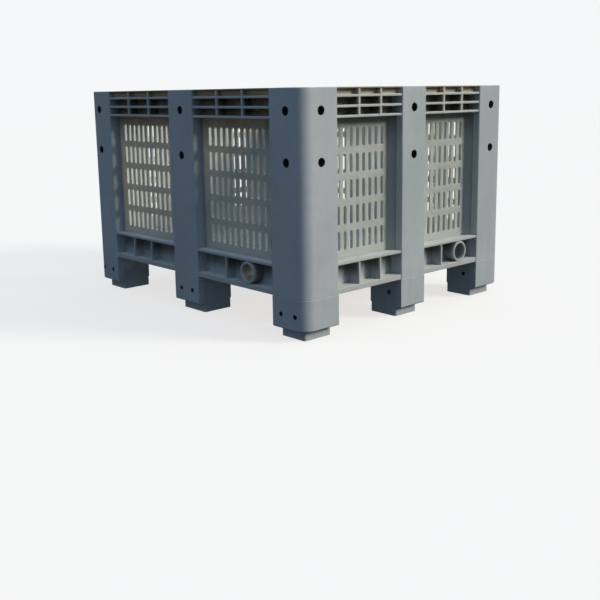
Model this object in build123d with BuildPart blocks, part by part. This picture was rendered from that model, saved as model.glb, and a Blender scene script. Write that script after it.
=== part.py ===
from build123d import *
import os

# Vented plastic pallet box on nine feet. X runs along the long faces, Y along the short faces, Z is up,
# and the origin is the centre of the footprint on the ground. A face is named by where it points: front
# is -Y, right is +X, back is +Y and left is -X. A place on a face is given by how far it is to the right
# of the face's middle, seen from outside, by its depth behind the outer surface, and by its height.

# ---- driving dimensions, mm ----
LENGTH = 1200.0
WIDTH = 1000.0
HEIGHT = 760.0
CORNER_RADIUS = 45.0          # outer vertical corners of the box
SKIN = 5.0                    # moulded wall of the hollow posts
SEAM_CHAMFER = 1.2            # groove in the outer faces where the posts meet the feet
TINY = 0.5

# walls: the vent panels lie behind the posts, and all inner faces are flush
PANEL_THICKNESS = 6.0
PANEL_DEPTH_LONG = 40.0
PANEL_DEPTH_SHORT = 46.0

# posts
CORNER_POST_LONG = 142.0      # width of a corner post seen on a long face
CORNER_POST_SHORT = 148.0     # and on a short face
MID_POST_LONG = 138.0
MID_POST_SHORT = 118.0
POST_EDGE_RADIUS = 4.0
POST_TOP_RADIUS = 3.0
INNER_CORNER_RADIUS = 20.0
POST_HOLE_DIAMETER = 28.0
POST_HOLE_HEIGHTS = (542.0, 693.0)
POST_HOLE_FROM_CORNER_LONG = 68.0
POST_HOLE_FROM_CORNER_SHORT = 80.0

# rim: an upright wall with an outward lip stands on a ledge, and the next box's feet rest on that ledge
LEDGE_HEIGHT = 745.0
LEDGE_THICKNESS = 8.0
RIM_WALL_DEPTH = 22.0
RIM_WALL_THICKNESS = 6.0
RIM_RIB_SETBACK = 3.0
RIM_RIB_THICKNESS = 8.0
RIM_RIB_HEIGHTS = (672.5, 703.0, 734.0)
RIM_CELL_WALL = 6.0
RIM_CELLS = 3
RIM_DIVIDER_THICKNESS = 7.0
RIM_LIP_THICKNESS = 5.0

# vent slots
SLOT_HEIGHT = 60.0
SLOT_WIDTH = 14.0
SLOT_ROWS = 5
SLOT_ROW_PITCH = 80.5
SLOT_MIDDLE_HEIGHT = 446.5
SLOT_COLUMNS_LONG = 11
SLOT_PITCH_LONG = 30.3
SLOT_COLUMNS_SHORT = 8
SLOT_PITCH_SHORT = 28.4
SPLAY_LONG = (5.0, 5.0)       # how far a panel's splayed side border runs in, and how far it comes forward
SPLAY_SHORT = (24.0, 20.0)

# bottom rails
FOOT_TOP = 132.0
RAIL_SETBACK = 2.0
RAIL_FLANGE_TOP = 149.0
RAIL_SILL_BOTTOM = 221.0
RAIL_SILL_TOP = 230.0
RAIL_DIVIDER_THICKNESS = 6.0
RAIL_DIVIDER_SETBACK = 4.0
RAIL_DIVIDERS_LONG = (222.0, 336.0)      # distances from the face's middle
RAIL_DIVIDERS_SHORT = (157.0, 254.0)

# drain sockets, in the right-hand bay of each face, where the outer divider would be
DRAIN_FIT = 0.2
DRAIN_WALL = 7.0
DRAIN_LIP_RADIUS = 2.0

# base deck
DECK_TOP = 158.0
DECK_SKIN = 6.0
DECK_RIB = 5.0
DECK_CORNER_RADIUS = 24.0
DECK_RIB_COLUMNS = 11
DECK_RIB_ROWS = 9
DECK_SLOT_LENGTH = 60.0
DECK_SLOT_WIDTH = 10.0
DECK_SLOTS_PER_CELL = 2
DECK_EDGE_GAP = 0.3

# feet
FOOT_DEPTH = 150.0            # how far a mid-side foot reaches in
SKIRT_BOTTOM = 34.0
SKIRT_DEPTH = 28.0
SKIRT_STEP = 6.0
PLUG_INSET = 30.0             # the plug goes inside the rim wall of the box below
FOOT_SKIN = 6.0
FOOT_ROOF = 10.0
FOOT_EDGE_RADIUS = 8.0
SKIRT_EDGE_RADIUS = 5.0
FOOT_HOLE_DIAMETER = 16.0
FOOT_HOLE_HEIGHT = 79.0
FOOT_HOLES_FROM_CORNER = (41.0, 104.0)
FOOT_HOLES_FROM_MIDDLE = 32.0
FOOT_SIDE_HOLE_DEPTH = 60.0

# foot screws, driven up from inside each foot into a boss of the deck
SCREW_OFFSET = 22.0
SCREW_DIAMETER = 7.0
SCREW_HEAD_DIAMETER = 15.0
SCREW_HEAD_HEIGHT = 5.0
SCREW_TOP = 149.0
SCREW_FIT = 0.4
BOSS_DIAMETER = 18.0

# ---- worked out from the driving dimensions ----
WALL_LONG = PANEL_DEPTH_LONG + PANEL_THICKNESS
WALL_SHORT = PANEL_DEPTH_SHORT + PANEL_THICKNESS
RIM_BOTTOM = RIM_RIB_HEIGHTS[0] - RIM_RIB_THICKNESS / 2
RIM_TOP_DEPTH = RIM_WALL_DEPTH + RIM_WALL_THICKNESS
DRAIN_HEIGHT = (RAIL_FLANGE_TOP + RAIL_SILL_BOTTOM) / 2
DRAIN_HOLE_RADIUS = (RAIL_SILL_BOTTOM - RAIL_FLANGE_TOP) / 2
DRAIN_OUTER_RADIUS = DRAIN_HOLE_RADIUS - DRAIN_FIT


class Face:
    """One outer face of the box, with the sizes of what stands on it."""

    def __init__(self, name, rightward, inward, is_long):
        self.name = name
        self.rightward = Vector(*rightward)
        self.inward = Vector(*inward)
        self.reach = WIDTH / 2 if is_long else LENGTH / 2
        self.half = LENGTH / 2 if is_long else WIDTH / 2
        self.corner_post = CORNER_POST_LONG if is_long else CORNER_POST_SHORT
        self.mid_post = MID_POST_LONG if is_long else MID_POST_SHORT
        self.hole_from_corner = POST_HOLE_FROM_CORNER_LONG if is_long else POST_HOLE_FROM_CORNER_SHORT
        self.panel_depth = PANEL_DEPTH_LONG if is_long else PANEL_DEPTH_SHORT
        self.wall = WALL_LONG if is_long else WALL_SHORT
        self.columns = SLOT_COLUMNS_LONG if is_long else SLOT_COLUMNS_SHORT
        self.pitch = SLOT_PITCH_LONG if is_long else SLOT_PITCH_SHORT
        self.splay = SPLAY_LONG if is_long else SPLAY_SHORT
        self.dividers = RAIL_DIVIDERS_LONG if is_long else RAIL_DIVIDERS_SHORT
        self.bay_start = self.mid_post / 2
        self.bay_end = self.half - self.corner_post
        self.bay_width = self.bay_end - self.bay_start
        self.bay_middle = (self.bay_start + self.bay_end) / 2

    def point(self, right, depth, height):
        return self.rightward * right + self.inward * (depth - self.reach) + Vector(0, 0, height)

    def plan(self, height):
        """Plane seen from above: x to the right, y inward."""
        return Plane(origin=self.point(0, 0, height), x_dir=self.rightward, z_dir=(0, 0, 1))

    def elevation(self, depth):
        """Plane seen from outside: x to the right, y up."""
        return Plane(origin=self.point(0, depth, 0), x_dir=self.rightward, z_dir=self.inward * -1)

    def section(self, right):
        """Plane across the wall: x inward, y up, facing right."""
        return Plane(origin=self.point(right, 0, 0), x_dir=self.inward, z_dir=self.rightward)


FRONT = Face("front", (1, 0, 0), (0, 1, 0), True)
RIGHT = Face("right", (0, 1, 0), (-1, 0, 0), False)
BACK = Face("back", (-1, 0, 0), (0, -1, 0), True)
LEFT = Face("left", (0, -1, 0), (1, 0, 0), False)
FACES = (FRONT, RIGHT, BACK, LEFT)
BAYS = (("a", -1), ("b", 1))  # bay a is left of the mid post seen from outside, bay b is right of it


def save(piece, name):
    piece.part.label = name
    export_step(piece.part, f"parts/{name}.step")


def on_outer_face(edge):
    """Whether an edge's middle lies in an outer face of the box, or round one of its outer corners."""
    middle = edge.position_at(0.5)
    corner = Vector(LENGTH / 2 - CORNER_RADIUS, WIDTH / 2 - CORNER_RADIUS, 0)
    round_corner = Vector(abs(middle.X), abs(middle.Y), 0) - corner
    return (
        abs(abs(middle.X) - LENGTH / 2) < TINY or abs(abs(middle.Y) - WIDTH / 2) < TINY
        or abs(round_corner.length - CORNER_RADIUS) < TINY)


def outer_edges_at(piece, height):
    """The edges at one height that run along the outside of the box."""
    return piece.edges().filter_by_position(Axis.Z, height, height).filter_by(on_outer_face)


def corner_post(name, side_x, side_y):
    """Hollow L-shaped post: a web closes off its two arms, and each outer face has two holes."""
    corner = (side_x * LENGTH / 2, side_y * WIDTH / 2)

    def arm(width, depth):
        with Locations(corner):
            Rectangle(width, depth, align=(
                Align.MAX if side_x > 0 else Align.MIN, Align.MAX if side_y > 0 else Align.MIN))

    with BuildPart() as post:
        with BuildSketch(Plane.XY.offset(FOOT_TOP)) as outline:
            arm(CORNER_POST_LONG, WALL_LONG)
            arm(WALL_SHORT, CORNER_POST_SHORT)
            nearest_first = outline.vertices().sort_by_distance((*corner, 0))
            fillet(nearest_first[0], CORNER_RADIUS)
            inner = (side_x * (LENGTH / 2 - WALL_SHORT), side_y * (WIDTH / 2 - WALL_LONG), 0)
            fillet(outline.vertices().sort_by_distance(inner)[0], INNER_CORNER_RADIUS)
        extrude(amount=LEDGE_HEIGHT - FOOT_TOP)
        with BuildSketch(Plane.XY.offset(LEDGE_HEIGHT)) as rim:
            arm(CORNER_POST_LONG, RIM_TOP_DEPTH)
            arm(RIM_TOP_DEPTH, CORNER_POST_SHORT)
            fillet(rim.vertices().sort_by_distance((*corner, 0))[0], CORNER_RADIUS)
        extrude(amount=HEIGHT - LEDGE_HEIGHT)
        with BuildSketch(Plane.XY.offset(FOOT_TOP)):
            add(outline.sketch_local)
            offset(amount=-SKIN, kind=Kind.INTERSECTION, mode=Mode.REPLACE)
            with Locations((side_x * LENGTH / 2, side_y * (WIDTH / 2 - WALL_LONG + SKIN / 2))):
                Rectangle(2 * WALL_SHORT, SKIN, mode=Mode.SUBTRACT)
        extrude(amount=LEDGE_HEIGHT - LEDGE_THICKNESS - FOOT_TOP, mode=Mode.SUBTRACT)
        jamb_edges = post.edges().filter_by(Axis.Z).filter_by(
            lambda e: abs(abs(e.center().X) - LENGTH / 2) < TINY or abs(abs(e.center().Y) - WIDTH / 2) < TINY)
        fillet(jamb_edges.filter_by(
            lambda e: abs(abs(e.center().X) - (LENGTH / 2 - CORNER_POST_LONG)) < TINY
            or abs(abs(e.center().Y) - (WIDTH / 2 - CORNER_POST_SHORT)) < TINY), POST_EDGE_RADIUS)
        outward = Vector(side_x, side_y, 0)
        for face in FACES:
            if face.inward.dot(outward) > 0:
                continue
            right = face.rightward.dot(outward) * (face.half - face.hole_from_corner)
            with BuildSketch(face.elevation(0)):
                with Locations(*[(right, height) for height in POST_HOLE_HEIGHTS]):
                    Circle(POST_HOLE_DIAMETER / 2)
            extrude(amount=-SKIN * 2, mode=Mode.SUBTRACT)
        chamfer(outer_edges_at(post, FOOT_TOP), SEAM_CHAMFER)
        fillet(outer_edges_at(post, HEIGHT), POST_TOP_RADIUS)
    save(post, name)


def mid_post(name, face):
    """Hollow flat post at the middle of a face."""
    with BuildPart() as post:
        with BuildSketch(face.plan(FOOT_TOP)):
            with Locations((0, face.wall / 2)):
                Rectangle(face.mid_post, face.wall)
        extrude(amount=LEDGE_HEIGHT - FOOT_TOP)
        with BuildSketch(face.plan(LEDGE_HEIGHT)):
            with Locations((0, RIM_TOP_DEPTH / 2)):
                Rectangle(face.mid_post, RIM_TOP_DEPTH)
        extrude(amount=HEIGHT - LEDGE_HEIGHT)
        with BuildSketch(face.plan(FOOT_TOP)):
            with Locations((0, face.wall / 2)):
                Rectangle(face.mid_post - 2 * SKIN, face.wall - 2 * SKIN)
        extrude(amount=LEDGE_HEIGHT - LEDGE_THICKNESS - FOOT_TOP, mode=Mode.SUBTRACT)
        fillet(post.edges().filter_by(Axis.Z).filter_by(
            lambda e: abs(abs(e.center().dot(face.inward)) - face.reach) < TINY), POST_EDGE_RADIUS)
        with BuildSketch(face.elevation(0)):
            with Locations(*[(0, height) for height in POST_HOLE_HEIGHTS]):
                Circle(POST_HOLE_DIAMETER / 2)
        extrude(amount=-SKIN * 2, mode=Mode.SUBTRACT)
        chamfer(outer_edges_at(post, FOOT_TOP), SEAM_CHAMFER)
        fillet(outer_edges_at(post, HEIGHT), POST_TOP_RADIUS)
    save(post, name)


def vent_panel(name, face, hand):
    """Thin panel between two posts, with splayed side borders and rows of tall slots."""
    middle = hand * face.bay_middle
    half = face.bay_width / 2
    run, rise = face.splay
    front = face.panel_depth
    with BuildPart() as panel:
        with BuildSketch(face.plan(RAIL_SILL_TOP)):
            with BuildLine():
                Polyline(
                    (middle - half, front - rise), (middle - half + run, front),
                    (middle + half - run, front), (middle + half, front - rise),
                    (middle + half, face.wall), (middle - half, face.wall), close=True)
            make_face()
        extrude(amount=RIM_BOTTOM - RAIL_SILL_TOP)
        with BuildSketch(face.elevation(0)):
            with Locations((middle, SLOT_MIDDLE_HEIGHT)):
                with GridLocations(face.pitch, SLOT_ROW_PITCH, face.columns, SLOT_ROWS):
                    SlotOverall(SLOT_HEIGHT, SLOT_WIDTH, rotation=90)
        extrude(amount=-2 * face.wall, mode=Mode.SUBTRACT)
    save(panel, name)


def rim_band(name, face, hand):
    """Ribbed top band of one bay: three ribs, a set-back wall, the stacking ledge and the lipped rim wall."""
    start = hand * face.bay_middle - face.bay_width / 2
    cell_wall = face.wall - RIM_CELL_WALL
    low, middle, high = RIM_RIB_HEIGHTS
    half_rib = RIM_RIB_THICKNESS / 2
    ledge_bottom = high + half_rib
    lip_bottom = HEIGHT - RIM_LIP_THICKNESS
    with BuildPart() as band:
        with BuildSketch(face.section(start)) as profile:
            with BuildLine():
                Polyline(
                    (RIM_RIB_SETBACK, low - half_rib), (RIM_RIB_SETBACK, low + half_rib),
                    (cell_wall, low + half_rib), (cell_wall, middle - half_rib),
                    (RIM_RIB_SETBACK, middle - half_rib), (RIM_RIB_SETBACK, middle + half_rib),
                    (cell_wall, middle + half_rib), (cell_wall, high - half_rib),
                    (RIM_RIB_SETBACK, high - half_rib), (RIM_RIB_SETBACK, ledge_bottom),
                    (RIM_WALL_DEPTH, ledge_bottom), (RIM_WALL_DEPTH, lip_bottom),
                    (RIM_RIB_SETBACK, lip_bottom), (RIM_RIB_SETBACK, HEIGHT),
                    (RIM_TOP_DEPTH, HEIGHT), (RIM_TOP_DEPTH, LEDGE_HEIGHT),
                    (face.wall, LEDGE_HEIGHT), (face.wall, low - half_rib), close=True)
            make_face()
            fillet(profile.vertices().group_by(Axis.X)[0], half_rib / 2)
        extrude(amount=face.bay_width)
        step = face.bay_width / RIM_CELLS
        for index in range(1, RIM_CELLS):
            with BuildSketch(face.section(start + index * step - RIM_DIVIDER_THICKNESS / 2)):
                with BuildLine():
                    Polyline(
                        (RIM_RIB_SETBACK, low), (RIM_RIB_SETBACK, HEIGHT - RIM_LIP_THICKNESS / 2),
                        (RIM_TOP_DEPTH - half_rib, HEIGHT - RIM_LIP_THICKNESS / 2),
                        (RIM_TOP_DEPTH - half_rib, high), (face.wall - half_rib, high),
                        (face.wall - half_rib, low), close=True)
                make_face()
            extrude(amount=RIM_DIVIDER_THICKNESS)
    save(band, name)


def bottom_rail(name, face, hand):
    """Channel rail of one bay, open to the outside, with upright dividers and the drain's hole."""
    start = hand * face.bay_middle - face.bay_width / 2
    back = face.panel_depth
    has_drain = hand > 0
    with BuildPart() as rail:
        with BuildSketch(face.section(start)) as profile:
            with BuildLine():
                Polyline(
                    (RAIL_SETBACK, FOOT_TOP), (RAIL_SETBACK, RAIL_FLANGE_TOP), (back, RAIL_FLANGE_TOP),
                    (back, RAIL_SILL_BOTTOM), (RAIL_SETBACK, RAIL_SILL_BOTTOM),
                    (RAIL_SETBACK, RAIL_SILL_TOP), (face.wall, RAIL_SILL_TOP), (face.wall, FOOT_TOP),
                    close=True)
            make_face()
            fillet(profile.vertices().group_by(Axis.X)[0], RAIL_SETBACK)
        extrude(amount=face.bay_width)
        for distance in face.dividers:
            if has_drain and distance == face.dividers[-1]:
                continue
            with BuildSketch(face.section(hand * distance - RAIL_DIVIDER_THICKNESS / 2)):
                with Locations(((RAIL_DIVIDER_SETBACK + face.wall) / 2, DRAIN_HEIGHT)):
                    Rectangle(face.wall - RAIL_DIVIDER_SETBACK, 2 * DRAIN_HOLE_RADIUS + RAIL_SETBACK)
            extrude(amount=RAIL_DIVIDER_THICKNESS)
        if has_drain:
            with BuildSketch(face.elevation(0)):
                with Locations((face.dividers[-1], DRAIN_HEIGHT)):
                    Circle(DRAIN_HOLE_RADIUS)
            extrude(amount=-2 * face.wall, mode=Mode.SUBTRACT)
    save(rail, name)


def drain_socket(name, face):
    """Round tube through the bottom rail, level with the deck."""
    with BuildPart() as socket:
        with BuildSketch(face.elevation(0)):
            with Locations((face.dividers[-1], DRAIN_HEIGHT)):
                Circle(DRAIN_OUTER_RADIUS)
                Circle(DRAIN_OUTER_RADIUS - DRAIN_WALL, mode=Mode.SUBTRACT)
        extrude(amount=-face.wall)
        mouth = socket.edges().filter_by(GeomType.CIRCLE).filter_by(
            lambda e: abs(e.radius - DRAIN_OUTER_RADIUS) < TINY and on_outer_face(e))
        fillet(mouth, DRAIN_LIP_RADIUS)
    save(socket, name)


class FootPlan:
    """Where a foot stands: its box in plan, and which of its sides are outer faces of the pallet box."""

    def __init__(self, name, x_span, y_span):
        self.name = name
        self.x_low, self.x_high = sorted(x_span)
        self.y_low, self.y_high = sorted(y_span)
        self.outer_x = self.touches(self.x_low, self.x_high, LENGTH)
        self.outer_y = self.touches(self.y_low, self.y_high, WIDTH)

    @staticmethod
    def touches(low, high, size):
        if abs(high - size / 2) < TINY:
            return 1
        if abs(low + size / 2) < TINY:
            return -1
        return 0

    def trimmed(self, outer, inner):
        """The plan box, cut back by outer on its outer sides and by inner on the others."""
        return (
            self.x_low + (outer if self.outer_x < 0 else inner),
            self.x_high - (outer if self.outer_x > 0 else inner),
            self.y_low + (outer if self.outer_y < 0 else inner),
            self.y_high - (outer if self.outer_y > 0 else inner))

    def plug_centre(self):
        x_low, x_high, y_low, y_high = self.trimmed(PLUG_INSET, self.step())
        return (x_low + x_high) / 2, (y_low + y_high) / 2

    def step(self):
        return SKIRT_STEP if self.outer_x or self.outer_y else 0.0

    def screw_places(self):
        x, y = self.plug_centre()
        return [(x - SCREW_OFFSET, y + SCREW_OFFSET), (x + SCREW_OFFSET, y - SCREW_OFFSET)]


def foot_plans():
    half_length, half_width = LENGTH / 2, WIDTH / 2
    plans = []
    for y_name, side_y in (("front", -1), ("back", 1)):
        for x_name, side_x in (("left", -1), ("right", 1)):
            plans.append(FootPlan(
                f"foot_{y_name}_{x_name}",
                (side_x * half_length, side_x * (half_length - CORNER_POST_LONG)),
                (side_y * half_width, side_y * (half_width - CORNER_POST_SHORT))))
        plans.append(FootPlan(
            f"foot_{y_name}_middle", (-MID_POST_LONG / 2, MID_POST_LONG / 2),
            (side_y * half_width, side_y * (half_width - FOOT_DEPTH))))
    for x_name, side_x in (("left", -1), ("right", 1)):
        plans.append(FootPlan(
            f"foot_{x_name}_middle", (side_x * half_length, side_x * (half_length - FOOT_DEPTH)),
            (-MID_POST_SHORT / 2, MID_POST_SHORT / 2)))
    plans.append(FootPlan(
        "foot_centre", (-MID_POST_LONG / 2, MID_POST_LONG / 2), (-MID_POST_SHORT / 2, MID_POST_SHORT / 2)))
    return plans


def plan_box(x_low, x_high, y_low, y_high):
    with Locations(((x_low + x_high) / 2, (y_low + y_high) / 2)):
        Rectangle(x_high - x_low, y_high - y_low)


def foot(plan):
    """Hollow foot, open below: a skirt flush with the posts, and a plug that stands on the ground."""
    corner = (plan.outer_x * LENGTH / 2, plan.outer_y * WIDTH / 2, 0)
    is_corner = plan.outer_x != 0 and plan.outer_y != 0
    with BuildPart() as block:
        with BuildSketch(Plane.XY.offset(SKIRT_BOTTOM)) as outline:
            plan_box(*plan.trimmed(0, plan.step()))
            if plan.outer_y:
                skirt_y = sorted((plan.outer_y * WIDTH / 2, plan.outer_y * (WIDTH / 2 - SKIRT_DEPTH)))
                plan_box(plan.x_low, plan.x_high, *skirt_y)
            if plan.outer_x:
                skirt_x = sorted((plan.outer_x * LENGTH / 2, plan.outer_x * (LENGTH / 2 - SKIRT_DEPTH)))
                plan_box(*skirt_x, plan.y_low, plan.y_high)
            if is_corner:
                fillet(outline.vertices().sort_by_distance(corner)[0], CORNER_RADIUS)
        extrude(amount=FOOT_TOP - SKIRT_BOTTOM)
        if plan.outer_x or plan.outer_y:
            fillet(outer_edges_at(block, SKIRT_BOTTOM), SKIRT_EDGE_RADIUS)
            chamfer(outer_edges_at(block, FOOT_TOP), SEAM_CHAMFER)
        with BuildSketch() as plug:
            plan_box(*plan.trimmed(PLUG_INSET, plan.step()))
            fillet(plug.vertices(), FOOT_EDGE_RADIUS)
        extrude(amount=SKIRT_BOTTOM)
        with BuildSketch(Plane.XY.offset(SKIRT_BOTTOM + FOOT_SKIN)) as upper_hollow:
            plan_box(*plan.trimmed(FOOT_SKIN, plan.step() + FOOT_SKIN))
            if is_corner:
                fillet(upper_hollow.vertices().sort_by_distance(corner)[0], CORNER_RADIUS - FOOT_SKIN)
        extrude(amount=FOOT_TOP - FOOT_ROOF - SKIRT_BOTTOM - FOOT_SKIN, mode=Mode.SUBTRACT)
        with BuildSketch():
            plan_box(*plan.trimmed(PLUG_INSET + FOOT_SKIN, plan.step() + FOOT_SKIN))
        extrude(amount=SKIRT_BOTTOM + FOOT_SKIN, mode=Mode.SUBTRACT)
        x_low, x_high, y_low, y_high = plan.trimmed(PLUG_INSET + FOOT_SKIN / 2, plan.step() + FOOT_SKIN / 2)
        middle_x, middle_y = plan.plug_centre()
        with BuildSketch():
            plan_box(middle_x - FOOT_SKIN / 2, middle_x + FOOT_SKIN / 2, y_low, y_high)
            plan_box(x_low, x_high, middle_y - FOOT_SKIN / 2, middle_y + FOOT_SKIN / 2)
        extrude(amount=FOOT_TOP - FOOT_ROOF)
        with BuildSketch(Plane.XY.offset(FOOT_TOP)):
            with Locations(*plan.screw_places()):
                Circle((SCREW_DIAMETER + SCREW_FIT) / 2)
        extrude(amount=-FOOT_ROOF, mode=Mode.SUBTRACT)
        if plan.outer_y:
            face = FRONT if plan.outer_y < 0 else BACK
            places = [(x * face.rightward.X, FOOT_HOLE_HEIGHT) for x in front_hole_places(plan)]
            with BuildSketch(face.elevation(0)):
                with Locations(*places):
                    Circle(FOOT_HOLE_DIAMETER / 2)
            extrude(amount=-2 * FOOT_SKIN, mode=Mode.SUBTRACT)
        if plan.outer_x:
            right = plan.outer_x * (LENGTH / 2 - FOOT_SIDE_HOLE_DEPTH)
            flanks = [y for y, outer in ((plan.y_low, -1), (plan.y_high, 1)) if plan.outer_y != outer]
            for y in flanks:
                with BuildSketch(Plane.XZ.offset(-y)):
                    with Locations((right, FOOT_HOLE_HEIGHT)):
                        Circle(FOOT_HOLE_DIAMETER / 2)
                extrude(amount=3 * FOOT_SKIN, both=True, mode=Mode.SUBTRACT)
    save(block, plan.name)


def front_hole_places(plan):
    """Where the small holes of a long face's foot lie along X."""
    if plan.outer_x:
        return [plan.outer_x * (LENGTH / 2 - distance) for distance in FOOT_HOLES_FROM_CORNER]
    return [-FOOT_HOLES_FROM_MIDDLE, FOOT_HOLES_FROM_MIDDLE]


def base_deck(plans):
    """Slotted floor on a grid of ribs, with a boss over each foot screw."""
    size_x = LENGTH - 2 * WALL_SHORT - 2 * DECK_EDGE_GAP
    size_y = WIDTH - 2 * WALL_LONG - 2 * DECK_EDGE_GAP
    rib_height = DECK_TOP - DECK_SKIN - FOOT_TOP
    pitch_x = (size_x - DECK_RIB) / (DECK_RIB_COLUMNS - 1)
    pitch_y = (size_y - DECK_RIB) / (DECK_RIB_ROWS - 1)
    screws = [place for plan in plans for place in plan.screw_places()]
    with BuildPart() as deck:
        with BuildSketch(Plane.XY.offset(FOOT_TOP)):
            RectangleRounded(size_x, size_y, DECK_CORNER_RADIUS)
        extrude(amount=DECK_TOP - FOOT_TOP)
        with BuildSketch(Plane.XY.offset(FOOT_TOP)):
            with GridLocations(pitch_x, pitch_y, DECK_RIB_COLUMNS - 1, DECK_RIB_ROWS - 1):
                Rectangle(pitch_x - DECK_RIB, pitch_y - DECK_RIB)
            with Locations(*screws):
                Circle(BOSS_DIAMETER / 2, mode=Mode.SUBTRACT)
            RectangleRounded(
                size_x - 2 * DECK_RIB, size_y - 2 * DECK_RIB, DECK_CORNER_RADIUS - DECK_RIB,
                mode=Mode.INTERSECT)
        extrude(amount=rib_height, mode=Mode.SUBTRACT)
        with BuildSketch(Plane.XY.offset(DECK_TOP)):
            with GridLocations(pitch_x, pitch_y, DECK_RIB_COLUMNS - 1, DECK_RIB_ROWS - 1):
                with GridLocations(0, pitch_y / (DECK_SLOTS_PER_CELL + 1), 1, DECK_SLOTS_PER_CELL):
                    SlotOverall(DECK_SLOT_LENGTH, DECK_SLOT_WIDTH)
        extrude(amount=-DECK_SKIN, mode=Mode.SUBTRACT)
        with BuildSketch(Plane.XY.offset(FOOT_TOP)):
            with Locations(*screws):
                Circle((SCREW_DIAMETER + SCREW_FIT) / 2)
        extrude(amount=rib_height, mode=Mode.SUBTRACT)
    save(deck, "base_deck")


def foot_screws(plans):
    """The screws that hold the feet to the deck, head down under each foot's roof."""
    head_bottom = FOOT_TOP - FOOT_ROOF - SCREW_HEAD_HEIGHT
    with BuildPart() as screws:
        for plan in plans:
            with BuildSketch(Plane.XY.offset(head_bottom)):
                with Locations(*plan.screw_places()):
                    Circle(SCREW_HEAD_DIAMETER / 2)
            extrude(amount=SCREW_HEAD_HEIGHT)
            with BuildSketch(Plane.XY.offset(head_bottom)):
                with Locations(*plan.screw_places()):
                    Circle(SCREW_DIAMETER / 2)
            extrude(amount=SCREW_TOP - head_bottom)
    save(screws, "foot_screws")


os.makedirs("parts", exist_ok=True)
for y_side, y_sign in (("front", -1), ("back", 1)):
    for x_side, x_sign in (("left", -1), ("right", 1)):
        corner_post(f"corner_post_{y_side}_{x_side}", x_sign, y_sign)
for wall_face in FACES:
    mid_post(f"mid_post_{wall_face.name}", wall_face)
    drain_socket(f"drain_socket_{wall_face.name}", wall_face)
    for bay, bay_hand in BAYS:
        vent_panel(f"vent_panel_{wall_face.name}_{bay}", wall_face, bay_hand)
        rim_band(f"rim_band_{wall_face.name}_{bay}", wall_face, bay_hand)
        bottom_rail(f"bottom_rail_{wall_face.name}_{bay}", wall_face, bay_hand)
feet = foot_plans()
for foot_plan in feet:
    foot(foot_plan)
base_deck(feet)
foot_screws(feet)
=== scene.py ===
"""Looks of a vented plastic pallet box: moulded, softened copies of its CAD parts and a small studio.

The frame holds the true shape and size. Every part here starts as a copy of its CAD node, gets the
rounded edges that a moulding has and a material with grain, clouding, dusting, wear, painted light on its
tops, rib fronts and groove, and painted shade in its cells and holes, and stands in for the node. Lengths
are in metres.
"""

import math

import bmesh
import bpy
from bpy.props import FloatProperty, FloatVectorProperty, IntProperty, PointerProperty
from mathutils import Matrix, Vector


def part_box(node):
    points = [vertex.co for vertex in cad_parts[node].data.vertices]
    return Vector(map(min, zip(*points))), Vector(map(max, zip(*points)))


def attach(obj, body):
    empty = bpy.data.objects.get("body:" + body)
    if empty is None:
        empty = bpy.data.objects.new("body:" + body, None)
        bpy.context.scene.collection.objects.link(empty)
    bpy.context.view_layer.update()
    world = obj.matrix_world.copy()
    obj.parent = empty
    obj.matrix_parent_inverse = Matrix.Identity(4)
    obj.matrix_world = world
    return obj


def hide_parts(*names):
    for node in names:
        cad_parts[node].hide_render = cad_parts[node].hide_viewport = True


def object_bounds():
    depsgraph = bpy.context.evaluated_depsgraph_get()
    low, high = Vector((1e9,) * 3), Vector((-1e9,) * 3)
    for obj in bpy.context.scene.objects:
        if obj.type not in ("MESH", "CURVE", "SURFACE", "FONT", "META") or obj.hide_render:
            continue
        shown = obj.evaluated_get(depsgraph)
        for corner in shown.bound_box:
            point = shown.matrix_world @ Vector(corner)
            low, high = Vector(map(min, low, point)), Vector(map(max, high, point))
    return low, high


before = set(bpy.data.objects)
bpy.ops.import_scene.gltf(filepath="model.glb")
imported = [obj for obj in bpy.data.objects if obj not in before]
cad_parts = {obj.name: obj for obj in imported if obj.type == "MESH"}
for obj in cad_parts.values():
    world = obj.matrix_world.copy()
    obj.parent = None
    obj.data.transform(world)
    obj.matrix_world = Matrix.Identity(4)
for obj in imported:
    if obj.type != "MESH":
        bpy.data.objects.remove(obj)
CAD_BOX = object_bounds()

bl_info = {
    "name": "Vented Pallet Box",
    "version": (1, 0, 0),
    "blender": (4, 5, 0),
    "location": "3D View > Sidebar > Pallet Box",
    "description": "Moulded parts, finishes and studio of a vented plastic pallet box",
    "category": "Object",
}

MM = 0.001
TOP = CAD_BOX[1].z
RAIL_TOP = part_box("bottom_rail_back_a")[1].z
LONG_WALL = CAD_BOX[1].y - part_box("rim_band_back_a")[0].y      # thickness of the long walls
SHORT_WALL = CAD_BOX[1].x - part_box("rim_band_right_a")[0].x    # and of the short ones
NOSE_DEPTH = 5 * MM           # ribs and flanges end this close behind the outer faces

# Heights between which open cells lie, and how many rows they have, for their painted shade; the panels
# have one under the rim, for the rim's painted shadow on them
RIM_CELLS = (TOP - 87.5 * MM, TOP - 26 * MM, 2)
RAIL_CELLS = (RAIL_TOP - 83 * MM, RAIL_TOP - 8 * MM, 1)
PANEL_HEAD = (TOP - 230 * MM, TOP - 40 * MM, 1)

RIM_GROOVE = (TOP - 22 * MM, TOP + 0.5 * MM)   # the groove above the highest rib, with the lip over it
RIM_LIP = TOP - 4.5 * MM                       # underside of that lip
GROOVE_DEPTH = 26 * MM

WEAR = "edge_wear"            # face attribute: 1 on rounded edges, 0 elsewhere
BORE_SHADE = "bore_painted_shade"            # face attribute: 1 on the walls of round holes, where painted shade goes, 0 elsewhere
BORE_FACET = 10 * MM          # the facets of those walls are no longer than this
MERGE_DISTANCE = 0.01 * MM    # corners closer than this are one
FLAT_ANGLE = math.radians(1)  # faces that turn less than this are one
NORMAL_WEIGHT = 80            # how far large faces rule the smooth shading
BODY = "root"

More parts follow.
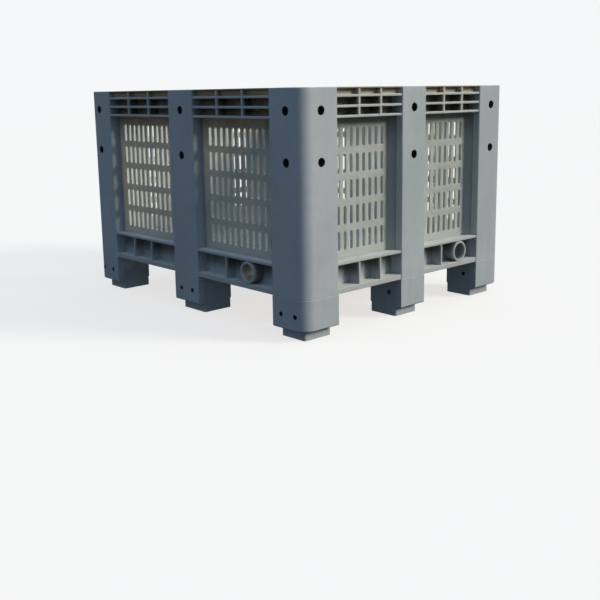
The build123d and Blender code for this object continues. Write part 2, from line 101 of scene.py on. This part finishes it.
SCRATCH_SHADE = 1.3           # a scratch is this much paler than clean plastic
WORN_SHADE = 1.22             # and a worn edge this much
PLASTIC_IOR = 1.5
THIN_REACH = 19 * MM          # how far light travels in thin plastic
THIN_TINT = (1.0, 0.85, 0.62)   # shares of that distance for red, green and blue

FLOOR_RADIUS = 40.0
DOME_RADIUS = 39.0
GROUND_EDGE = (-0.25, 0.15)   # upward slopes between which the fill turns from ground to sky
SENSOR_WIDTH = 36.0           # of the camera, in millimetres


# ---- settings ------------------------------------------------------------------------------------

class PalletBoxShape(bpy.types.PropertyGroup):
    """Sizes of the moulded detail"""
    edge_radius: FloatProperty(
        name="Edge radius", description="Rounding of the moulded edges",
        default=1.2 * MM, min=0.0, unit="LENGTH")
    slot_edge_radius: FloatProperty(
        name="Slot edge radius", description="Rounding of the edges of thin slotted parts",
        default=0.8 * MM, min=0.0, unit="LENGTH")
    edge_segments: IntProperty(
        name="Edge segments", description="Faces across each rounded edge", default=2, min=1, max=4)
    sharp_angle: FloatProperty(
        name="Sharp angle", description="Edges that turn more than this are rounded",
        default=math.radians(28), subtype="ANGLE")


class PalletBoxFinish(bpy.types.PropertyGroup):
    """Colours and surface of the plastic and the screws"""
    frame_colour: FloatVectorProperty(
        name="Frame colour", description="Posts, rims, rails and sockets",
        default=(0.415, 0.445, 0.455), size=3, min=0.0, max=1.0, subtype="COLOR")
    panel_colour: FloatVectorProperty(
        name="Panel colour", description="Vented panels",
        default=(0.425, 0.440, 0.412), size=3, min=0.0, max=1.0, subtype="COLOR")
    foot_colour: FloatVectorProperty(
        name="Foot colour", description="Feet",
        default=(0.400, 0.430, 0.440), size=3, min=0.0, max=1.0, subtype="COLOR")
    deck_colour: FloatVectorProperty(
        name="Deck colour", description="Slotted floor",
        default=(0.410, 0.425, 0.405), size=3, min=0.0, max=1.0, subtype="COLOR")
    # Pale dusting on surfaces that face up, which also paints the light that falls on them
    dust_and_top_light_colour: FloatVectorProperty(
        name="Dust colour", description="Dust on surfaces that face up",
        default=(0.74, 0.73, 0.68), size=3, min=0.0, max=1.0, subtype="COLOR")
    # Painted shade: the dark colour deep in the open cells, on the walls of round holes and under the
    # rim's lip
    painted_shade_colour: FloatVectorProperty(
        name="Grime colour", description="Grime deep in the open cells",
        default=(0.075, 0.064, 0.038), size=3, min=0.0, max=1.0, subtype="COLOR")
    # Front edges of ribs and flanges: scuffs and dusting, and a painted highlight
    front_dust_and_highlight_colour: FloatVectorProperty(
        name="Rib front colour", description="Scuffed and dusty front edges of ribs and flanges",
        default=(0.46, 0.455, 0.42), size=3, min=0.0, max=1.0, subtype="COLOR")
    # Brown-yellow tint that paints warm light in the rim's top groove and on its lip
    painted_warm_light_colour: FloatVectorProperty(
        name="Stain colour", description="Brown dirt in the groove under the rim's lip",
        default=(0.36, 0.29, 0.13), size=3, min=0.0, max=1.0, subtype="COLOR")
    roughness: FloatProperty(
        name="Roughness", description="Roughness of clean plastic", default=0.52, min=0.0, max=1.0,
        subtype="FACTOR")
    grain: FloatProperty(
        name="Grain", description="Strength of the moulded grain", default=0.22, min=0.0, max=1.0,
        subtype="FACTOR")


class PalletBoxStudio(bpy.types.PropertyGroup):
    """Floor, lights and camera"""
    floor_colour: FloatVectorProperty(
        name="Floor colour", description="The plain floor", default=(0.30, 0.30, 0.29), size=3,
        min=0.0, max=1.0, subtype="COLOR")
    floor_glow: FloatProperty(
        name="Floor glow", description="How far the floor lights itself, which softens shadows on it",
        default=0.73, min=0.0, max=1.0, subtype="FACTOR")
    backdrop_colour: FloatVectorProperty(
        name="Backdrop colour", description="The plain backdrop", default=(0.925, 0.932, 0.942), size=3,
        min=0.0, max=1.0, subtype="COLOR")
    sky_colour: FloatVectorProperty(
        name="Fill colour", description="Soft fill light all round, at the height of the box",
        default=(0.118, 0.167, 0.242), size=3, min=0.0, max=1.0, subtype="COLOR")
    zenith_colour: FloatVectorProperty(
        name="Top fill colour", description="Stronger fill light from straight above",
        default=(0.32, 0.44, 0.61), size=3, min=0.0, max=1.0, subtype="COLOR")
    ground_colour: FloatVectorProperty(
        name="Ground fill colour", description="Weaker fill light from below",
        default=(0.055, 0.066, 0.080), size=3, min=0.0, max=1.0, subtype="COLOR")
    key_strength: FloatProperty(
        name="Key strength", description="Strength of the key light", default=2.8, min=0.0)
    key_colour: FloatVectorProperty(
        name="Key colour", description="Colour of the key light", default=(1.0, 0.955, 0.82), size=3,
        min=0.0, max=1.0, subtype="COLOR")
    key_softness: FloatProperty(
        name="Key softness", description="How wide the key light is in the sky", default=math.radians(18),
        subtype="ANGLE")
    key_azimuth: FloatProperty(
        name="Key azimuth", description="Direction of the key light, turned from +X towards +Y",
        default=math.radians(37), subtype="ANGLE")
    key_elevation: FloatProperty(
        name="Key elevation", description="Height of the key light above the horizon",
        default=math.radians(26), subtype="ANGLE")
    camera_turn: FloatVectorProperty(
        name="Camera turn", description="Rotation of the camera",
        default=(math.radians(79.151), math.radians(0.888), math.radians(47.420)), size=3, subtype="EULER")
    camera_place: FloatVectorProperty(
        name="Camera place", description="Where the camera stands", default=(2.412, -2.167, 0.745), size=3,
        subtype="TRANSLATION", unit="LENGTH")
    camera_lens: FloatProperty(
        name="Camera lens", description="Focal length in millimetres", default=51.25, min=1.0)
    camera_drop: FloatProperty(
        name="Camera drop", description="Downward shift of the view, in picture widths", default=0.073)


# ---- node helpers --------------------------------------------------------------------------------

class Graph:
    """A material's node tree, with one short method for each kind of node that the finishes use."""

    def __init__(self, name):
        self.material = bpy.data.materials.new(name)
        self.material.use_nodes = True
        self.tree = self.material.node_tree
        self.tree.nodes.clear()
        self.coordinates = self.tree.nodes.new("ShaderNodeTexCoord").outputs["Object"]

    def link(self, value, socket):
        """Joins a socket to another node's output, or gives it a fixed value."""
        if isinstance(value, bpy.types.NodeSocket):
            self.tree.links.new(value, socket)
        else:
            socket.default_value = value

    def stretched(self, x, y, z):
        """The object's coordinates, scaled along each axis."""
        mapping = self.tree.nodes.new("ShaderNodeMapping")
        mapping.inputs["Scale"].default_value = (x, y, z)
        self.link(self.coordinates, mapping.inputs["Vector"])
        return mapping.outputs["Vector"]

    def noise(self, scale, detail=2.0, rough=0.5, vector=None):
        """Soft noise from about 0.2 to 0.8, scale patches to the metre."""
        noise = self.tree.nodes.new("ShaderNodeTexNoise")
        noise.inputs["Scale"].default_value = scale
        noise.inputs["Detail"].default_value = detail
        noise.inputs["Roughness"].default_value = rough
        self.link(vector or self.coordinates, noise.inputs["Vector"])
        return noise.outputs["Fac"]

    def between(self, value, low, high, out_low=0.0, out_high=1.0):
        """value moved from low..high to out_low..out_high, with smooth ends."""
        node = self.tree.nodes.new("ShaderNodeMapRange")
        node.interpolation_type = "SMOOTHSTEP"
        self.link(value, node.inputs["Value"])
        node.inputs["From Min"].default_value = low
        node.inputs["From Max"].default_value = high
        node.inputs["To Min"].default_value = out_low
        node.inputs["To Max"].default_value = out_high
        return node.outputs["Result"]

    def math(self, operation, first, second=0.0):
        """The result of a sum on one or two values."""
        node = self.tree.nodes.new("ShaderNodeMath")
        node.operation = operation
        self.link(first, node.inputs[0])
        self.link(second, node.inputs[1])
        return node.outputs[0]

    def mix(self, share, first, second):
        """The first colour, turned by that share into the second."""
        node = self.tree.nodes.new("ShaderNodeMix")
        node.data_type = "RGBA"
        self.link(share, node.inputs["Factor"])
        self.link(first, node.inputs["A"])
        self.link(second, node.inputs["B"])
        return node.outputs["Result"]

    def facing_up(self):
        """1 where the surface faces up, 0 on walls and undersides."""
        geometry = self.tree.nodes.new("ShaderNodeNewGeometry")
        parts = self.tree.nodes.new("ShaderNodeSeparateXYZ")
        self.link(geometry.outputs["Normal"], parts.inputs[0])
        return self.between(parts.outputs["Z"], 0.35, 0.9)

    def depths(self):
        """How far a point is behind the short outer faces of the box, and how far behind the long ones."""
        parts = self.tree.nodes.new("ShaderNodeSeparateXYZ")
        self.link(self.coordinates, parts.inputs[0])
        behind_short = self.math("SUBTRACT", CAD_BOX[1].x, self.math("ABSOLUTE", parts.outputs["X"]))
        behind_long = self.math("SUBTRACT", CAD_BOX[1].y, self.math("ABSOLUTE", parts.outputs["Y"]))
        return behind_short, behind_long

    def band(self, value, low, high, edge=2 * MM):
        """1 where value is between low and high, with soft ends."""
        return self.math("MULTIPLY", self.between(value, low, low + edge),
                         self.between(value, high - edge, high, 1.0, 0.0))

    def height(self):
        """How far a point is above the ground."""
        parts = self.tree.nodes.new("ShaderNodeSeparateXYZ")
        self.link(self.coordinates, parts.inputs[0])
        return parts.outputs["Z"]

    def attribute(self, name):
        """The value of a face attribute, 0 where there is none."""
        node = self.tree.nodes.new("ShaderNodeAttribute")
        node.attribute_name = name
        return node.outputs["Fac"]

    def bump(self, height, strength, distance, normal=None):
        """The surface's normal, bent as if it had that relief."""
        node = self.tree.nodes.new("ShaderNodeBump")
        node.inputs["Strength"].default_value = strength
        node.inputs["Distance"].default_value = distance
        self.link(height, node.inputs["Height"])
        if normal is not None:
            self.link(normal, node.inputs["Normal"])
        return node.outputs["Normal"]

    def surface(self, colour, roughness, normal, **fixed):
        """The finished material, with further fixed values of its shader by name."""
        shader = self.tree.nodes.new("ShaderNodeBsdfPrincipled")
        self.link(colour, shader.inputs["Base Color"])
        self.link(roughness, shader.inputs["Roughness"])
        self.link(normal, shader.inputs["Normal"])
        for name, value in fixed.items():
            shader.inputs[name.replace("_", " ")].default_value = value
        output = self.tree.nodes.new("ShaderNodeOutputMaterial")
        self.link(shader.outputs[0], output.inputs["Surface"])
        return self.material


def shade(colour, factor):
    """The colour made paler or darker, with full alpha."""
    return (colour[0] * factor, colour[1] * factor, colour[2] * factor, 1.0)


# ---- finishes ------------------------------------------------------------------------------------

def clouded(g, colour):
    """The plastic's own colour in soft clouds, small mottles and upright streaks."""
    cloud = g.between(g.noise(3.1, 3.0), 0.35, 0.65)
    body = g.mix(cloud, shade(colour, 0.93), shade(colour, 1.05))
    mottle = g.between(g.noise(38.0, 4.0, 0.6), 0.42, 0.72, 0.0, 0.35)
    body = g.mix(mottle, body, shade(colour, 0.86))
    streak = g.between(g.noise(1.0, 3.0, 0.55, g.stretched(34.0, 34.0, 2.2)), 0.55, 0.75, 0.0, 0.3)
    return g.mix(streak, body, shade(colour, 0.80))


def scratches(g, scuffs):
    """Where the surface is scratched: level and upright strokes in patches, most of them low down."""
    level = g.noise(1.0, 2.0, 0.5, g.stretched(9.0, 9.0, 420.0))
    upright = g.noise(1.0, 2.0, 0.5, g.stretched(260.0, 260.0, 14.0))
    stroke = g.math("MAXIMUM", g.between(level, 0.66, 0.72), g.between(upright, 0.68, 0.74))
    patch = g.between(g.noise(7.0, 2.0), 0.48, 0.66)
    low_down = g.between(g.height(), 0.0, 0.35, 1.0, 0.45)
    return g.math("MULTIPLY", g.math("MULTIPLY", stroke, patch), g.math("MULTIPLY", low_down, scuffs))


def dusty_top_and_painted_light(g, top_dust_and_light):
    """How dusty the surfaces that face up are; the pale dusting also paints the light that falls on them
    from above.
    """
    drift = g.between(g.noise(11.0, 4.0, 0.6), 0.3, 0.7, 0.5 * top_dust_and_light, top_dust_and_light)
    return g.math("MULTIPLY", g.facing_up(), drift)


def rib_front_dust_and_highlight(g, body, depth, finish):
    """Paler front edges on the ribs and flanges: scuffs and dusting, and a painted highlight."""
    # painted highlight, with scuffs and dusting, on the front edges
    front = g.between(depth, NOSE_DEPTH, NOSE_DEPTH + 2 * MM, 0.6, 0.0)
    return g.mix(front, body, (*finish.front_dust_and_highlight_colour, 1.0))


def cell_painted_shade(g, body, behind, finish, cells, cell_shade):
    """Painted shade in the open cells of the walls' outer side, darker deeper in and from each row's floor
    towards its ceiling, under the rib or sill above.
    """
    behind_short, behind_long, depth = behind
    outer_side = g.math(
        "MAXIMUM", g.between(behind_short, SHORT_WALL - 4 * MM, SHORT_WALL - 2 * MM, 1.0, 0.0),
        g.between(behind_long, LONG_WALL - 4 * MM, LONG_WALL - 2 * MM, 1.0, 0.0))
    patchy = g.math("MULTIPLY", outer_side, g.between(g.noise(19.0, 3.0), 0.25, 0.6, 0.75, 1.0))
    # painted shade, darker deeper into the cell
    deep = g.math("MULTIPLY", g.between(depth, 4 * MM, 16 * MM), patchy)
    floor, ceiling, rows = cells
    row_height = (ceiling - floor) / rows
    height = g.height()
    in_row = g.math("FRACT", g.math("DIVIDE", g.math("SUBTRACT", height, floor), row_height))
    # painted shade grows from each row's floor towards its ceiling, under the rib above
    rising = g.math("MULTIPLY", g.band(height, floor, ceiling), g.between(in_row, 0.1, 0.75, *cell_shade))
    return g.mix(g.math("MULTIPLY", deep, rising), body, (*finish.painted_shade_colour, 1.0))


def groove_warm_light_and_shadow(g, body, depth, finish):
    """Painted warm light in the rim's top groove and on its lip, and a painted shadow under the lip."""
    height = g.height()
    before_wall = g.between(depth, GROOVE_DEPTH - MM, GROOVE_DEPTH, 1.0, 0.0)
    on_lip = g.between(height, RIM_LIP - MM, RIM_LIP)
    behind_ribs = g.between(depth, NOSE_DEPTH + MM, NOSE_DEPTH + 3 * MM)
    groove = g.math("MULTIPLY", g.band(height, *RIM_GROOVE), before_wall)
    groove = g.math("MULTIPLY", groove, g.math("MAXIMUM", on_lip, behind_ribs))
    # painted warm light on the groove and the lip
    body = g.mix(g.math("MULTIPLY", groove, 0.7), body, (*finish.painted_warm_light_colour, 1.0))
    # painted shadow under the lip, in the painted shade colour
    under_lip = g.math("MULTIPLY", groove, g.between(height, RIM_LIP - 9 * MM, RIM_LIP, 0.0, 0.6))
    return g.mix(under_lip, body, (*finish.painted_shade_colour, 1.0))


def moulded_plastic(name, colour, finish, top_dust_and_light=0.5, scuffs=0.5, bore_shade=0.0, cells=None, cell_shade=(0.0, 0.0),
                    thin=0.0):
    """Grey moulded polyethylene with grain, scratches, dusty tops paled further as painted light, pale
    worn edges, painted highlights on rib fronts, painted warm light in the rim's groove and painted shade
    in cells, holes and under the lip.

    bores is how dark the painted shade on the walls of its round holes is. cells are the heights of the
    floor and the ceiling of the open cells in its outer side and their rows, and grime is how dark the
    painted shade in the cells is at the floor and at the ceiling of a row. thin is how much light passes
    through it.
    """
    g = Graph(name)
    body = clouded(g, colour)
    scratch = scratches(g, scuffs)
    body = g.mix(scratch, body, shade(colour, SCRATCH_SHADE))
    worn = g.math("MULTIPLY", g.attribute(WEAR), g.between(g.noise(24.0, 3.0), 0.35, 0.62, 0.15, 0.75))
    body = g.mix(worn, body, shade(colour, WORN_SHADE))
    # Dusty tops, made paler also as painted light from above
    dusty_lit_top = dusty_top_and_painted_light(g, top_dust_and_light)
    body = g.mix(dusty_lit_top, body, (*finish.dust_and_top_light_colour, 1.0))
    if bore_shade:
        # painted shade on the walls of round holes
        body = g.mix(g.math("MULTIPLY", g.attribute(BORE_SHADE), bore_shade), body, (*finish.painted_shade_colour, 1.0))
    if cells:
        behind_short, behind_long = g.depths()
        depth = g.math("MINIMUM", behind_short, behind_long)
        # painted highlight and dusting on the rib fronts
        body = rib_front_dust_and_highlight(g, body, depth, finish)
        # painted shade in the open cells
        body = cell_painted_shade(g, body, (behind_short, behind_long, depth), finish, cells, cell_shade)
        # painted warm light in the groove and painted shadow under the lip
        body = groove_warm_light_and_shadow(g, body, depth, finish)

    gloss = g.between(g.noise(16.0, 3.0), 0.3, 0.7, finish.roughness - 0.06, finish.roughness + 0.10)
    gloss = g.math("ADD", gloss, g.math("MULTIPLY", dusty_lit_top, 0.3))
    gloss = g.math("ADD", gloss, g.math("MULTIPLY", scratch, 0.15))

    wave = g.bump(g.noise(8.0, 1.0), 0.25, 1.5 * MM)
    grain = g.bump(g.noise(620.0, 2.0), finish.grain, 0.25 * MM, wave)
    cut = g.bump(scratch, 0.3, -0.2 * MM, grain)
    fixed = {"IOR": PLASTIC_IOR}
    if thin:
        fixed.update(Subsurface_Weight=thin, Subsurface_Radius=THIN_TINT, Subsurface_Scale=THIN_REACH)
    return g.surface(body, gloss, cut, **fixed)


def plated_steel(name):
    """Zinc-plated screw: mottled grey metal."""
    g = Graph(name)
    spangle = g.between(g.noise(240.0, 3.0), 0.35, 0.65)
    body = g.mix(spangle, (0.42, 0.42, 0.41, 1.0), (0.60, 0.60, 0.61, 1.0))
    gloss = g.between(g.noise(90.0, 2.0), 0.3, 0.7, 0.30, 0.48)
    normal = g.bump(g.noise(400.0, 2.0), 0.15, 0.1 * MM)
    return g.surface(body, gloss, normal, Metallic=1.0)


# ---- mesh helpers --------------------------------------------------------------------------------

def is_bore_facet(face):
    """Whether a face is a facet of the wall of a round hole that runs along X or Y."""
    across = min(abs(face.normal.x), abs(face.normal.y)) < 0.01 and 0.05 < abs(face.normal.z) < 0.999
    return across and max(edge.calc_length() for edge in face.edges) < BORE_FACET


def softened(node_name, radius, shape):
    """A copy of a CAD node's mesh, merged, with every sharp edge rounded and marked as worn."""
    bm = bmesh.new()
    bm.from_mesh(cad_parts[node_name].data)
    bmesh.ops.remove_doubles(bm, verts=bm.verts, dist=MERGE_DISTANCE)
    bmesh.ops.dissolve_limit(bm, angle_limit=FLAT_ANGLE, verts=bm.verts, edges=bm.edges)
    sharp = [e for e in bm.edges if len(e.link_faces) == 2 and e.calc_face_angle() > shape.sharp_angle]
    wear = bm.faces.layers.float.new(WEAR)
    bore = bm.faces.layers.float.new(BORE_SHADE)
    for face in bm.faces:
        face[bore] = float(is_bore_facet(face))
    rounded = bmesh.ops.bevel(
        bm, geom=sharp, offset=radius, offset_type="OFFSET", segments=shape.edge_segments, profile=0.5,
        affect="EDGES", clamp_overlap=True, material=-1)
    for face in rounded["faces"]:
        face[wear] = 1.0
        face[bore] = 0.0
    return bm


def finish_piece(bm, name, material, slot, *nodes):
    """Makes the piece of a bmesh, gives it its finish, and lets it stand for its CAD nodes."""
    mesh = bpy.data.meshes.new(name)
    bm.to_mesh(mesh)
    bm.free()
    mesh.shade_smooth()
    piece = bpy.data.objects.new(name, mesh)
    bpy.context.scene.collection.objects.link(piece)
    piece.data.materials.append(material)
    weighted = piece.modifiers.new("Weighted normals", "WEIGHTED_NORMAL")
    weighted.weight = NORMAL_WEIGHT
    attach(piece, BODY)
    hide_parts(*nodes)
    return piece


def nodes_called(prefix):
    """The names of the CAD nodes that start with prefix."""
    return sorted(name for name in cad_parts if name.startswith(prefix))


def material_of(name, make):
    """The material of that name, which make(name) makes the first time."""
    return bpy.data.materials.get(name) or make(name)


def settings():
    """The user's sizes and finishes."""
    scene = bpy.context.scene
    return scene.pallet_box_shape, scene.pallet_box_finish


def frame_plastic():
    finish = settings()[1]
    # Painted shade on the walls of the posts' round holes
    return material_of(
        "frame_finish",
        lambda name: moulded_plastic(name, finish.frame_colour, finish, 0.55, 0.55, bore_shade=0.9))


def rim_plastic():
    finish = settings()[1]
    # Painted shade in the rim's cells, strongest under each rib; painted light on its tops and rib fronts
    return material_of(
        "rim_finish",
        lambda name: moulded_plastic(
            name, finish.frame_colour, finish, 0.9, 0.4, cells=RIM_CELLS, cell_shade=(0.7, 1.0), thin=0.5))


def rail_plastic():
    finish = settings()[1]
    # Painted shade in the rail's cells, darkest under the sill; painted light on its tops and rib fronts
    return material_of(
        "rail_finish",
        lambda name: moulded_plastic(
            name, finish.frame_colour, finish, 1.0, 0.4, cells=RAIL_CELLS, cell_shade=(0.0, 0.85)))


def panel_plastic():
    finish = settings()[1]
    # Painted shadow of the rim on the panels' head, darker towards the top
    return material_of(
        "panel_finish",
        lambda name: moulded_plastic(
            name, finish.panel_colour, finish, 0.5, 0.3, cells=PANEL_HEAD, cell_shade=(0.0, 0.6), thin=1.0))


def soften_all(prefix, radius, material, slot):
    """Makes the moulded piece of every CAD node with that prefix."""
    shape = settings()[0]
    for name in nodes_called(prefix):
        finish_piece(softened(name, radius, shape), f"moulded_{name}", material, slot, name)


# ---- operators, one for each group of like pieces ------------------------------------------------

class PALLETBOX_OT_posts(bpy.types.Operator):
    """Round off the hollow corner and mid posts"""
    bl_idname = "palletbox.posts"
    bl_label = "Posts"

    def execute(self, context):
        radius = context.scene.pallet_box_shape.edge_radius
        soften_all("corner_post", radius, frame_plastic(), "frame_plastic")
        soften_all("mid_post", radius, frame_plastic(), "frame_plastic")
        return {"FINISHED"}


class PALLETBOX_OT_panels(bpy.types.Operator):
    """Round off the slotted panels"""
    bl_idname = "palletbox.panels"
    bl_label = "Vented panels"

    def execute(self, context):
        radius = context.scene.pallet_box_shape.slot_edge_radius
        soften_all("vent_panel", radius, panel_plastic(), "panel_plastic")
        return {"FINISHED"}


class PALLETBOX_OT_rims(bpy.types.Operator):
    """Round off the ribbed rim bands"""
    bl_idname = "palletbox.rims"
    bl_label = "Rim bands"

    def execute(self, context):
        radius = context.scene.pallet_box_shape.edge_radius
        soften_all("rim_band", radius, rim_plastic(), "frame_plastic")
        return {"FINISHED"}


class PALLETBOX_OT_rails(bpy.types.Operator):
    """Round off the bottom rails and the drain sockets in them"""
    bl_idname = "palletbox.rails"
    bl_label = "Bottom rails"

    def execute(self, context):
        radius = context.scene.pallet_box_shape.edge_radius
        finish = context.scene.pallet_box_finish
        soften_all("bottom_rail", radius, rail_plastic(), "frame_plastic")
        # Painted shade inside the drain sockets, as dark at the floor as at the ceiling
        socket = material_of(
            "socket_finish",
            lambda name: moulded_plastic(
                name, finish.frame_colour, finish, 0.4, 0.3, cells=RAIL_CELLS, cell_shade=(0.75, 0.75)))
        soften_all("drain_socket", radius, socket, "socket_plastic")
        return {"FINISHED"}


class PALLETBOX_OT_feet(bpy.types.Operator):
    """Round off the feet, and finish the screws that hold them"""
    bl_idname = "palletbox.feet"
    bl_label = "Feet"

    def execute(self, context):
        shape, finish = settings()
        # Painted shade on the walls of the feet's round holes
        foot = material_of(
            "foot_finish",
            lambda name: moulded_plastic(name, finish.foot_colour, finish, 0.5, 0.8, bore_shade=0.9))
        for name in nodes_called("foot_"):
            if name != "foot_screws":
                piece = softened(name, shape.edge_radius, shape)
                finish_piece(piece, f"moulded_{name}", foot, "foot_plastic", name)
        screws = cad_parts["foot_screws"]
        screws.data.materials.clear()
        screws.data.materials.append(material_of("screw_finish", plated_steel))
        return {"FINISHED"}


class PALLETBOX_OT_deck(bpy.types.Operator):
    """Round off the slotted deck"""
    bl_idname = "palletbox.deck"
    bl_label = "Deck"

    def execute(self, context):
        shape, finish = settings()
        # Dusty top of the deck, made paler also as painted light from above
        deck = material_of(
            "deck_finish", lambda name: moulded_plastic(name, finish.deck_colour, finish, 0.75, 0.6))
        soften_all("base_deck", shape.slot_edge_radius, deck, "deck_plastic")
        return {"FINISHED"}


class PALLETBOX_OT_studio(bpy.types.Operator):
    """Set the floor, the backdrop, the lights and the camera"""
    bl_idname = "palletbox.studio"
    bl_label = "Studio"

    def execute(self, context):
        studio = context.scene.pallet_box_studio
        make_floor(studio)
        make_backdrop(studio)
        make_lights(studio)
        make_camera(studio)
        context.scene.view_settings.view_transform = "Standard"
        return {"FINISHED"}


def stage_piece(bm, name, material):
    """Makes a piece of the studio, which isn't part of the box."""
    mesh = bpy.data.meshes.new(name)
    bm.to_mesh(mesh)
    bm.free()
    piece = bpy.data.objects.new(name, mesh)
    piece.data.materials.append(material)
    bpy.context.scene.collection.objects.link(piece)
    return piece


def make_floor(studio):
    """A pale floor that takes soft shadows but throws no light back on the box."""
    g = Graph("floor_paint")
    tone = g.mix(g.between(g.noise(0.8, 2.0), 0.3, 0.7), shade(studio.floor_colour, 0.97),
                 shade(studio.floor_colour, 1.0))
    normal = g.bump(g.noise(60.0, 2.0), 0.05, 0.5 * MM)
    paint = g.surface(tone, 0.8, normal, Emission_Color=(1.0, 0.98, 0.965, 1.0),
                      Emission_Strength=studio.floor_glow, Specular_IOR_Level=0.0)
    bm = bmesh.new()
    bmesh.ops.create_circle(bm, cap_ends=True, segments=96, radius=FLOOR_RADIUS)
    floor = stage_piece(bm, "floor", paint)
    floor.visible_diffuse = False
    floor.visible_glossy = False


def make_backdrop(studio):
    """A pale dome that only the camera sees, so it doesn't light the box."""
    material = bpy.data.materials.new("backdrop_paint")
    material.use_nodes = True
    tree = material.node_tree
    tree.nodes.clear()
    glow = tree.nodes.new("ShaderNodeEmission")
    glow.inputs["Color"].default_value = (*studio.backdrop_colour, 1.0)
    output = tree.nodes.new("ShaderNodeOutputMaterial")
    tree.links.new(glow.outputs[0], output.inputs["Surface"])
    bm = bmesh.new()
    bmesh.ops.create_uvsphere(bm, u_segments=64, v_segments=32, radius=DOME_RADIUS)
    dome = stage_piece(bm, "backdrop", material)
    dome.visible_diffuse = False
    dome.visible_glossy = False
    dome.visible_transmission = False
    dome.visible_shadow = False


def make_lights(studio):
    """A soft fill, cooler and stronger from above, and a warm key light."""
    world = bpy.data.worlds.new("studio_fill")
    world.use_nodes = True
    tree = world.node_tree
    direction = tree.nodes.new("ShaderNodeTexCoord").outputs["Generated"]
    parts = tree.nodes.new("ShaderNodeSeparateXYZ")
    tree.links.new(direction, parts.inputs[0])
    rise = tree.nodes.new("ShaderNodeMapRange")
    rise.inputs["From Min"].default_value = GROUND_EDGE[0]
    rise.inputs["From Max"].default_value = GROUND_EDGE[1]
    tree.links.new(parts.outputs["Z"], rise.inputs["Value"])
    fill = tree.nodes.new("ShaderNodeMix")
    fill.data_type = "RGBA"
    fill.inputs["A"].default_value = (*studio.ground_colour, 1.0)
    fill.inputs["B"].default_value = (*studio.sky_colour, 1.0)
    tree.links.new(rise.outputs["Result"], fill.inputs["Factor"])
    overhead = tree.nodes.new("ShaderNodeMix")
    overhead.data_type = "RGBA"
    overhead.inputs["B"].default_value = (*studio.zenith_colour, 1.0)
    tree.links.new(parts.outputs["Z"], overhead.inputs["Factor"])
    tree.links.new(fill.outputs["Result"], overhead.inputs["A"])
    tree.links.new(overhead.outputs["Result"], tree.nodes["Background"].inputs["Color"])
    bpy.context.scene.world = world

    key = bpy.data.lights.new("key", "SUN")
    key.energy = studio.key_strength
    key.color = studio.key_colour
    key.angle = studio.key_softness
    lamp = bpy.data.objects.new("key", key)
    azimuth, elevation = studio.key_azimuth, studio.key_elevation
    towards = Vector((math.cos(azimuth) * math.cos(elevation), math.sin(azimuth) * math.cos(elevation),
                      math.sin(elevation)))
    lamp.rotation_euler = towards.to_track_quat("Z", "Y").to_euler()
    bpy.context.scene.collection.objects.link(lamp)


def make_camera(studio):
    """The camera, at the height of the rim and off the front right corner."""
    data = bpy.data.cameras.new("camera")
    data.lens = studio.camera_lens
    data.sensor_width = SENSOR_WIDTH
    data.shift_y = -studio.camera_drop
    camera = bpy.data.objects.new("camera", data)
    camera.location = studio.camera_place
    camera.rotation_euler = studio.camera_turn
    bpy.context.scene.collection.objects.link(camera)
    bpy.context.scene.camera = camera


# ---- panel and registration ----------------------------------------------------------------------

class PALLETBOX_PT_panel(bpy.types.Panel):
    """Buttons that make the box and its studio"""
    bl_idname = "PALLETBOX_PT_panel"
    bl_label = "Vented Pallet Box"
    bl_space_type = "VIEW_3D"
    bl_region_type = "UI"
    bl_category = "Pallet Box"

    def draw(self, context):
        column = self.layout.column()
        for operator in OPERATORS:
            column.operator(operator.bl_idname)
        for group in ("pallet_box_shape", "pallet_box_finish", "pallet_box_studio"):
            values = getattr(context.scene, group)
            box = self.layout.box()
            for name in type(values).__annotations__:
                box.prop(values, name)


OPERATORS = (
    PALLETBOX_OT_posts,
    PALLETBOX_OT_panels,
    PALLETBOX_OT_rims,
    PALLETBOX_OT_rails,
    PALLETBOX_OT_feet,
    PALLETBOX_OT_deck,
    PALLETBOX_OT_studio,
)
CLASSES = (PalletBoxShape, PalletBoxFinish, PalletBoxStudio, *OPERATORS, PALLETBOX_PT_panel)


def register():
    for cls in CLASSES:
        bpy.utils.register_class(cls)
    bpy.types.Scene.pallet_box_shape = PointerProperty(type=PalletBoxShape)
    bpy.types.Scene.pallet_box_finish = PointerProperty(type=PalletBoxFinish)
    bpy.types.Scene.pallet_box_studio = PointerProperty(type=PalletBoxStudio)


def unregister():
    del bpy.types.Scene.pallet_box_studio
    del bpy.types.Scene.pallet_box_finish
    del bpy.types.Scene.pallet_box_shape
    for cls in reversed(CLASSES):
        bpy.utils.unregister_class(cls)


def main():
    register()
    bpy.ops.palletbox.posts()
    bpy.ops.palletbox.panels()
    bpy.ops.palletbox.rims()
    bpy.ops.palletbox.rails()
    bpy.ops.palletbox.feet()
    bpy.ops.palletbox.deck()
    bpy.ops.palletbox.studio()


if __name__ == "__main__":
    main()
